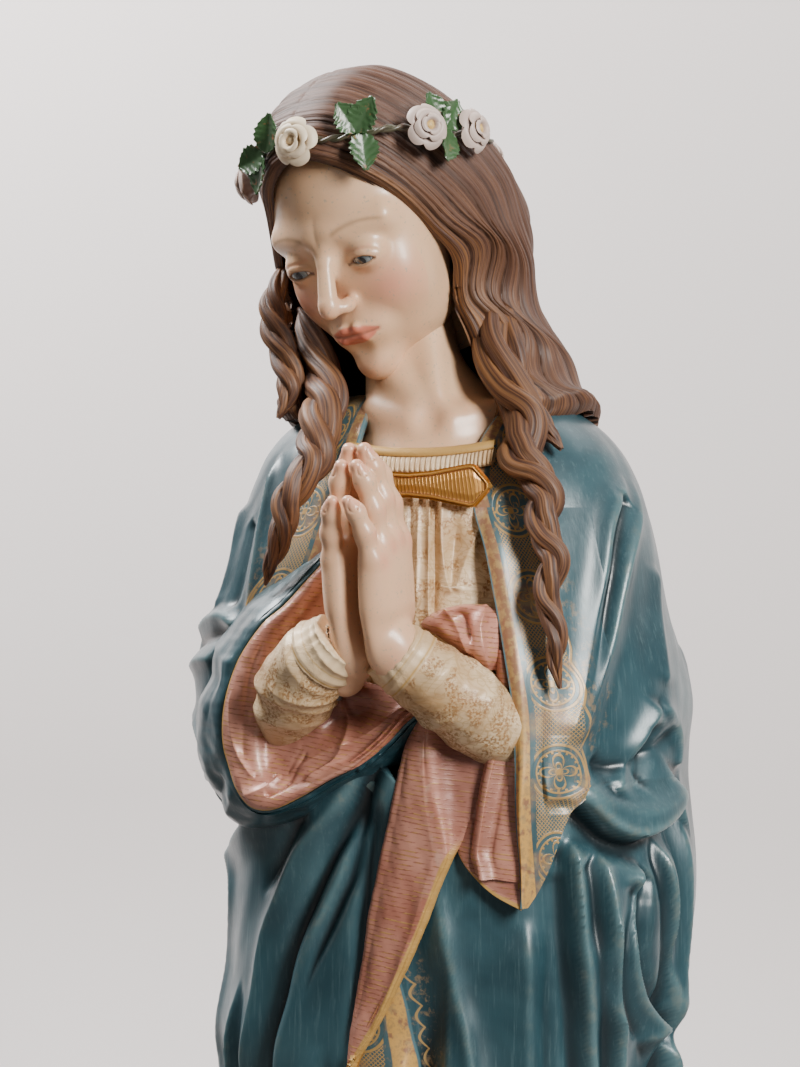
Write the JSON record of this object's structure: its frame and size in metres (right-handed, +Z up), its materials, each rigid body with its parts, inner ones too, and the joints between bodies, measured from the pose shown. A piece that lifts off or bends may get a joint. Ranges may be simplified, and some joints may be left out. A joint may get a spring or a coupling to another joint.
{
  "type": "madonna statue",
  "caption": "Standing praying madonna figure with joined hands, open mantle, bell sleeves, loose hair and a wreath of roses, on a canted plinth.",
  "frame": {"origin": "centre of the plinth's underside", "axes": "+Z up, the figure faces -Y, +X to the figure's left"},
  "size_m": [0.4, 0.39, 1.3048],
  "materials": {
    "dark_wood": "dark stained, wax polish",
    "painted_ground": "cast composition, painted as earth and grass",
    "iron": "plain iron, lightly rusted",
    "shoe_paint": "painted brown with a gilt edge",
    "gown_brocade": "cast composition painted ivory with gold brocade",
    "gilding": "gilt raised ornament, worn",
    "mantle_satin": "cast composition in glazed teal over silver leaf",
    "lining_brocade": "painted rose pink with gold and dark red hatching",
    "flesh_paint": "satin flesh paint, a little crazed",
    "bare_wood": "bare turned wood",
    "glass_eye": "glass, painted behind",
    "hair_paint": "painted brown with ochre strands, satin varnish",
    "leaf_paint": "wire and tinplate painted dark green and red",
    "rose_paint": "painted greyish pink with yellow hearts, chipped"
  },
  "bodies": {
    "root": {"plinth": "dark_wood", "ground_slab": "painted_ground", "plinth_screws": "iron", "armature_rod": "iron", "rod_washer": "iron", "rod_nut": "iron", "left_shoe": "shoe_paint", "right_shoe": "shoe_paint", "gown_skirt": "gown_brocade", "gown_bodice": "gown_brocade", "neckline_trim": "gilding", "mantle": "mantle_satin", "mantle_facing": "lining_brocade", "clasp": "gilding", "sash_fold": "lining_brocade", "right_bell_sleeve": "mantle_satin", "left_bell_sleeve": "mantle_satin", "right_sleeve_lining": "lining_brocade", "left_sleeve_lining": "lining_brocade", "right_under_sleeve": "gown_brocade", "left_under_sleeve": "gown_brocade", "right_cuff": "gown_brocade", "left_cuff": "gown_brocade", "right_hand": "flesh_paint", "left_hand": "flesh_paint", "right_wrist_pin": "iron", "left_wrist_pin": "iron", "bust": "flesh_paint", "neck_dowel": "bare_wood", "head": "flesh_paint", "right_eye": "glass_eye", "left_eye": "glass_eye", "hair_crown": "hair_paint", "hair_back": "hair_paint", "right_side_lock": "hair_paint", "left_side_lock": "hair_paint", "right_front_lock": "hair_paint", "left_front_lock": "hair_paint", "wreath_stem": "leaf_paint", "rose_pins": "iron", "rose_front_right": "rose_paint", "rose_front_left": "rose_paint", "rose_left": "rose_paint", "rose_back_left": "rose_paint", "rose_back_right": "rose_paint", "rose_right": "rose_paint", "leaf_sprig_front": "leaf_paint", "leaf_sprig_left": "leaf_paint", "leaf_sprig_right": "leaf_paint", "leaf_sprig_back": "leaf_paint"}
  },
  "joints": []
}
